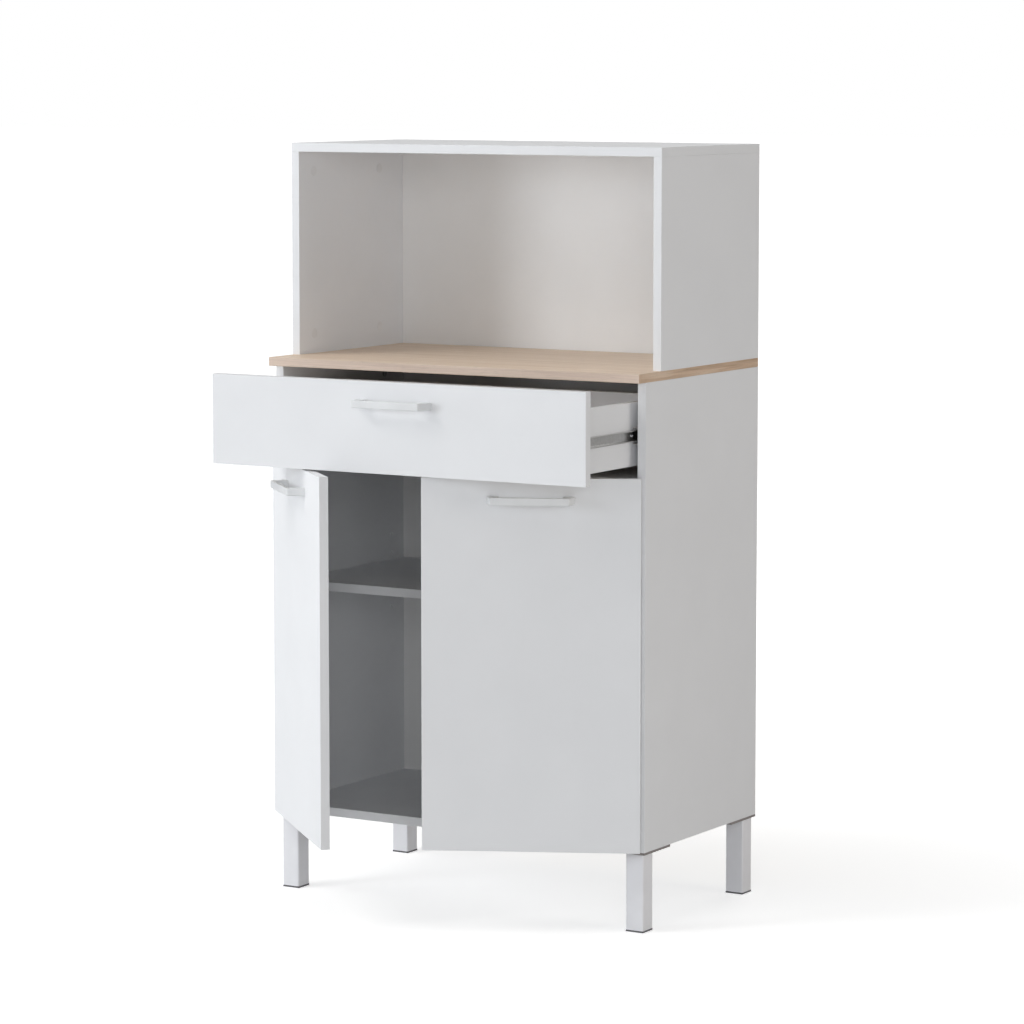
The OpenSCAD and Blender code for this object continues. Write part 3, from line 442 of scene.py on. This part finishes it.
def cross_screw(head, rise, shank, length):
    """A pan-head screw: rings from the middle of the head out, down its side and along its shank.
    The head's height falls with the square of the radius and is sunk where a cross of two bars
    lies."""
    steps = 32
    angles = np.linspace(0, 2 * np.pi, steps, endpoint=False)
    reach = np.array([0, 0.1, 0.17, 0.24, 0.34, 0.46, 0.56, 0.64, 0.8, 0.94])
    x, y = np.outer(reach, np.cos(angles)), np.outer(reach, np.sin(angles))
    bar = [np.clip((0.13 - abs(a)) / 0.06 + 0.5, 0, 1) * np.clip((0.56 - abs(b)) / 0.08 + 0.5, 0, 1)
           for a, b in ((x, y), (y, x))]
    top = rise * (1 - 0.45 * (x ** 2 + y ** 2)) - 0.6 * rise * np.maximum(*bar)
    face = np.stack([x * head, y * head, top], -1)
    outline = [(head, 0.35 * rise), (head, 0), (shank, 0), (shank, 1 - length), (0.3 * shank, -length)]
    return loft(np.concatenate([face, turned_rings(outline, steps)]))


leg_screw = cross_screw(3.8, 2, 1.9, 12)
carcass_half, depth_middle, plate_line, plate_under = 355.5, 128, 190.5, 130
from_corner = ((30, 75.5), (75.5, 30), (75.5, 75.5), (54.25, 54.25))
leg_screws = [stood_at(leg_screw, (side * (carcass_half - across), depth_middle + end * (plate_line - along),
                                   plate_under), (0, 0, -1))
              for side in (-1, 1) for end in (-1, 1) for across, along in from_corner]
make_piece("plate_pan_screws", leg_screws, zinc, "cabinet", "leg_plate_screws")

# ---- Drawer ----------------------------------------------------------------------------------
# A front of the same board as the doors, on a box of 12 mm white sides and back, cammed to the
# front and screwed at the back, with a thin white bottom in a groove. Half its length is drawn out.

for name in ("drawer_front", "drawer_left_side", "drawer_right_side", "drawer_back"):
    dress(name, board_white)
drawer_board = thin_board_finish("drawer_board", "Z", 0.7745, "LESS_THAN")
dress("drawer_bottom", drawer_board, edge=0.0002, segments=1)

drawn = -171.0
box_back = 273.5 + drawn
side_screw, floor_screw = cross_screw(3.8, 2, 2, 38), cross_screw(3.8, 2, 2, 14)
box_screws = [stood_at(side_screw, (s * 330, box_back, z), (s, 0, 0)) for s in (-1, 1) for z in (796, 848.5)]
box_screws += [stood_at(floor_screw, (x, box_back, 773), (0, 0, -1)) for x in (-260, 0, 260)]
make_piece("box_screws", box_screws, zinc, "drawer", "drawer_box_screws")

# ---- Handles ---------------------------------------------------------------------------------
# Zinc die-cast bows with a white powder coat: a flat bar 6 mm thick on two feet that slope out to
# it and widen where they meet the front. Two screws through the front hold each of them.


def round_line(points, radius, steps=5):
    """A line of straight runs with an arc at each inner corner: the arc's centre lies on the line
    that halves the corner, and it touches both runs."""
    points = np.asarray(points, float)
    out = [points[:1]]
    for before, corner, after in zip(points[:-2], points[1:-1], points[2:]):
        a, b = before - corner, after - corner
        a, b = a / np.linalg.norm(a), b / np.linalg.norm(b)
        half = np.arccos(np.clip(a @ b, -1, 1)) / 2
        middle = corner + (a + b) / np.linalg.norm(a + b) * radius / np.sin(half)
        first = corner + a * radius / np.tan(half) - middle
        last = corner + b * radius / np.tan(half) - middle
        share = np.linspace(0, 1, steps + 1)[:, None]
        turn = np.pi - 2 * half
        out.append(middle + (np.sin((1 - share) * turn) * first + np.sin(share * turn) * last) / np.sin(turn))
    return np.concatenate(out + [points[-1:]])


def bow_handle():
    """The bow between its outer and inner line, seen from above. At each place along it the section
    is a rectangle with round corners that spans the two lines and the bar's height."""
    foot, flat, reach, bar = 72, 65, 29, 6
    foot_in, flat_in = foot - 20, flat - 2 * bar
    outer = round_line([(-foot, 0), (-flat, -reach), (flat, -reach), (foot, 0)], 4.0)
    inner = round_line([(-foot_in, 0), (-flat_in, bar - reach), (flat_in, bar - reach), (foot_in, 0)], 3.0)
    middle, across = (outer + inner) / 2, (outer - inner) / 2
    half = np.linalg.norm(across, axis=1, keepdims=True)
    around, signs = four_corners(4)
    round_r, half_h = 1.6, 6.25
    out = signs[:, 0] * (half - round_r) + round_r * np.cos(around)
    rise = signs[:, 1] * (half_h - round_r) + round_r * np.sin(around)
    plan = middle[:, None] + (across / half)[:, None] * out[..., None]
    height = np.broadcast_to(rise[None, :, None], plan.shape[:2] + (1,))
    return loft(np.concatenate([plan, height], -1))


def moved(part, step):
    """A part moved by a step."""
    return part[0] + np.asarray(step, float), part[1]


handle = bow_handle()
handle_paint = paint_finish("handle_powder_coat", (0.80, 0.81, 0.82), (0.32, 0.42))
front_outside, front_inside = -85.5, -70.5
drawer_bow_at, door_bow_at = (0, drawn, 865), (-179.75, 0, 712)
bow_on_front = moved(handle, (0, front_outside, 0))
handle_screw = cross_screw(3.8, 2.4, 1.95, 24.9)
bow_screws = [stood_at(handle_screw, (x, front_inside, 0), (0, 1, 0)) for x in (-64, 64)]
make_piece("drawer_bow", [moved(bow_on_front, drawer_bow_at)], handle_paint, "drawer",
           "drawer_handle")
make_piece("drawer_bow_screws", [moved(screw, drawer_bow_at) for screw in bow_screws], zinc,
           "drawer", "drawer_handle_screws")

# ---- Slides ----------------------------------------------------------------------------------
# Ball-bearing slides of rolled zinc-plated steel: an outer channel with lips on the side panel, an
# inner channel on the drawer, and between them a cage of twelve balls that runs half as far.


def rolled_strip(line, thickness, start, end):
    """Rolled sheet: a centre line in x and z, with both faces half a thickness off it along its
    normals, carried straight along y, with its ends broken."""
    step = np.gradient(line, axis=0)
    normal = np.stack([-step[:, 1], step[:, 0]], -1) / np.linalg.norm(step, axis=1, keepdims=True)
    rings = []
    for y, share in ((start, 0.6), (start + 0.25, 1), (end - 0.25, 1), (end, 0.6)):
        half = normal * thickness / 2 * share
        section = np.concatenate([line + half, (line - half)[::-1]])
        rings.append(np.stack([section[:, 0], np.full(len(section), y), section[:, 1]], -1))
    return loft(np.array(rings))


def both_hands(part, side):
    """The right-hand part, or its mirror image for the left."""
    return part[0] * np.array([1 if side == "right" else -1, 1, 1]), part[1]


def slide_line(points, radius, steps):
    """A slide's centre line from points of (x, height above the slide's middle), bent at corners."""
    return round_line(points, radius, steps) + np.array([0, slide_z])


def steel_ball(radius):
    """A ball: half a circle turned on its axis."""
    rise = np.linspace(-np.pi / 2, np.pi / 2, 9)
    return loft(turned_rings(np.stack([radius * np.cos(rise), radius * np.sin(rise)], -1), 12))


slide_steel = zinc_finish("slide_steel", (0.58, 0.575, 0.565), (0.26, 0.40))
slide_z, sheet, cage_start, cage_len, race = 815.0, 1.2, -18.75, 80, 10.65
outer_line = slide_line([(335.2, 11.6), (335.2, 13.15), (344.4, 13.15), (344.4, -13.15), (335.2, -13.15),
                         (335.2, -11.6)], 0.9, 4)
inner_line = slide_line([(340.3, 8.15), (332.6, 8.15), (332.6, -8.15), (340.3, -8.15)], 1.4, 4)
cage_line = slide_line([(336.2, race), (341.15, race), (341.15, -race), (336.2, -race)], 1.0, 3)
outer_front, inner_front, channel_len = -65, -69.5 + drawn, (350, 348)
slide_ball = steel_ball(1.75)
for side, sign in (("left", -1), ("right", 1)):
    outer_channel = rolled_strip(outer_line, sheet, outer_front, outer_front + channel_len[0])
    make_piece(side + "_outer_channel", [both_hands(outer_channel, side)], slide_steel,
               "cabinet", side + "_cabinet_slide")
    inner_channel = rolled_strip(inner_line, sheet, inner_front, inner_front + channel_len[1])
    make_piece(side + "_inner_channel", [both_hands(inner_channel, side)], slide_steel,
               "drawer", side + "_drawer_slide")
    cage = [both_hands(rolled_strip(cage_line, 0.7, cage_start, cage_start + cage_len), side)]
    cage += [moved(slide_ball, (sign * 338.6, cage_start + (i + 0.5) * cage_len / 6, slide_z + up))
             for up in (-race, race) for i in range(6)]
    make_piece(side + "_ball_race", cage, zinc, side + "_ball_cage", side + "_ball_cage")

slide_screw = cross_screw(3.2, 1.4, 1.7, 9.9)
from_front = (35, 175, 315)
inner_screws = [stood_at(slide_screw, (s * 333.2, front_inside + y + drawn, slide_z), (s, 0, 0))
                for s in (-1, 1) for y in from_front]
make_piece("inner_channel_screws", inner_screws, zinc, "drawer", "drawer_slide_screws")
outer_screws = [stood_at(slide_screw, (s * 343.8, outer_front + y, slide_z), (-s, 0, 0))
                for s in (-1, 1) for y in from_front]
make_piece("outer_channel_screws", outer_screws, zinc, "cabinet", "cabinet_slide_screws")

# ---- Doors -----------------------------------------------------------------------------------
# Two doors of the same 15 mm board, banded on all four edges and bored for their hinge cups. They
# stand ajar, the left one further than the right, and carry the same handles as the drawer.

door_angle = {"left": 43.3, "right": 26.0}
hinge_pin = np.array([-350.5, -79.0, 0.0])


def hung(part, side):
    """A part drawn on the shut left-hand door, turned open about its hinge pins and put on its side
    of the cabinet."""
    angle = math.radians(door_angle[side])
    turn = np.array([[math.cos(angle), -math.sin(angle), 0], [math.sin(angle), math.cos(angle), 0],
                     [0, 0, 1]])
    points = (part[0] - hinge_pin) @ turn + hinge_pin
    return points * np.array([-1 if side == "right" else 1, 1, 1]), part[1]


for side in ("left", "right"):
    dress(side + "_door", board_white)
    make_piece(side + "_door_bow", [hung(moved(bow_on_front, door_bow_at), side)], handle_paint,
               side + "_door", side + "_door_handle")
    make_piece(side + "_door_bow_screws", [hung(moved(screw, door_bow_at), side) for screw in bow_screws],
               zinc, side + "_door", side + "_door_handle_screws")

# ---- Hinges ----------------------------------------------------------------------------------
# Concealed hinges: a pressed cup in the door, an arm that turns on its pin and is screwed over
# a plate on the side panel. Nickel-bright zinc plate, two hinges to a door.

hinge_steel = zinc_finish("hinge_steel", (0.74, 0.73, 0.71), (0.30, 0.44))
hinge_heights = (230.5, 652.5)
cup_screw = cross_screw(3.2, 1.6, 1.7, 10.2)
for side in ("left", "right"):
    for name in ("_hinge_cups", "_hinge_arms", "_hinge_plates", "_hinge_pins"):
        dress(side + name, hinge_steel, edge=0.0003)
    ears = [hung(stood_at(cup_screw, (-331, -69.3, z + up), (0, 1, 0)), side)
            for z in hinge_heights for up in (-24, 24)]
    make_piece(side + "_ear_screws", ears, zinc, side + "_door", side + "_cup_screws")

plate_screw, arm_screw = cross_screw(3.4, 1.5, 2.4, 13), cross_screw(3.0, 1.8, 2.0, 9.9)
hinge_screws = []
for s in (-1, 1):
    for z in hinge_heights:
        hinge_screws += [stood_at(plate_screw, (s * 343, -30, z + up), (-s, 0, 0)) for up in (-16, 16)]
        hinge_screws.append(stood_at(arm_screw, (s * 333, -17, z), (-s, 0, 0)))
make_piece("hinge_screws", hinge_screws, zinc, "cabinet", "hinge_plate_screws")

# ---- Studio ----------------------------------------------------------------------------------
# A pale floor that runs into a white background. Most of the light comes from the front left, some
# from beside the camera, so that the fronts are light and the right-hand side lies in half shade.


def soft_lamp(name, at, power, tint=(1, 1, 1), size=2.6):
    """A square lamp at a point, turned to the middle of the cabinet."""
    light = bpy.data.lights.new(name, "AREA")
    light.size, light.energy, light.color = size, power, tint
    lamp = bpy.data.objects.new(name, light)
    bpy.context.scene.collection.objects.link(lamp)
    back = np.subtract(at, (0, 0.1, 0.65))
    back /= np.linalg.norm(back)
    side = np.cross((0, 0, 1), back)
    side /= np.linalg.norm(side)
    turned = np.eye(4)
    turned[:3] = np.stack([side, np.cross(back, side), back, at], 1)
    lamp.matrix_world = Matrix(turned.tolist())


soft_lamp("front_left", (-3.8, -4.6, 1.5), 78, (0.95, 1.0, 1.05), 1.5)
soft_lamp("high_left", (-3.1, -3.1, 4.7), 84, (1.02, 1.0, 0.97))
soft_lamp("far_left", (-5.8, -1.6, 1.4), 84, (0.98, 1.0, 1.02))
soft_lamp("by_the_camera", (3.4, -5.2, 1.5), 69, (0.98, 1.0, 1.02))
soft_lamp("right", (5.6, 0.6, 1.3), 47, (1.08, 1.0, 0.91))
soft_lamp("overhead", (0.0, -0.6, 6.2), 50)
soft_lamp("behind", (-1.0, 6.0, 1.6), 70)


def combined(tree, operation, first, second):
    """Two numbers combined by an operation."""
    return add_node(tree, "Math", [(0, first), (1, second)], operation=operation).outputs[0]


# The world lights the cabinet weakly, but is white to the camera, in gloss and through glass.
world = bpy.data.worlds.new("studio")
bpy.context.scene.world = world
world.use_nodes = True
tree = world.node_tree
ray = add_node(tree, "LightPath").outputs
seen = combined(tree, "MAXIMUM", ray["Is Camera Ray"], ray["Is Glossy Ray"])
seen = combined(tree, "MAXIMUM", seen, ray["Is Transmission Ray"])
level = add_node(tree, "MapRange", [("Value", seen), ("To Min", 0.20), ("To Max", 1.0)])
put(tree, tree.nodes["Background"], Color=(1, 1, 1, 1), Strength=level.outputs["Result"])

# The floor takes the shadow near the cabinet and glows up to white further out, for the camera.
mesh = bpy.data.meshes.new("floor")
mesh.from_pydata([(-60, -60, 0), (60, -60, 0), (60, 60, 0), (-60, 60, 0)], [], [(0, 1, 2, 3)])
floor = bpy.data.objects.new("floor", mesh)
bpy.context.scene.collection.objects.link(floor)
material, tree, shader = new_material("pale_floor")
tree.nodes.remove(shader)
lit = add_node(tree, "BsdfDiffuse", [("Color", (0.82, 0.82, 0.82, 1))])
away = add_node(tree, "VectorMath", [(0, stretched(tree))], operation="LENGTH").outputs["Value"]
rise = add_node(tree, "MapRange", [("Value", away), ("From Min", 0.6), ("From Max", 2.6),
                                   ("To Min", 0.56), ("To Max", 1.0)], interpolation_type="SMOOTHSTEP")
to_camera = add_node(tree, "LightPath").outputs["Is Camera Ray"]
strength = combined(tree, "MULTIPLY", to_camera, rise.outputs["Result"])
glow = add_node(tree, "Emission", [("Color", (1, 1, 1, 1)), ("Strength", strength)])
both = add_node(tree, "AddShader", [(0, lit.outputs[0]), (1, glow.outputs[0])])
tree.links.new(both.outputs[0], tree.nodes["Material Output"].inputs["Surface"])
mesh.materials.append(material)

# ---- Camera ----------------------------------------------------------------------------------
# The photograph's place and lens, worked out from the corners of the cabinet that it shows. It
# looks a little down on the cabinet, from the right of its fronts.

lens = bpy.data.cameras.new("camera")
lens.sensor_width, lens.lens, lens.shift_y = 36, 137.39, -0.05
lens.clip_end = 200
camera = bpy.data.objects.new("camera", lens)
bpy.context.scene.collection.objects.link(camera)
tilt, turn = 0.1022, 0.5425
camera.location = (3.4070, -5.5384, 1.4180)
camera.rotation_euler = (math.pi / 2 - tilt, 0, turn)
bpy.context.scene.camera = camera
bpy.context.scene.view_settings.view_transform = "Standard"
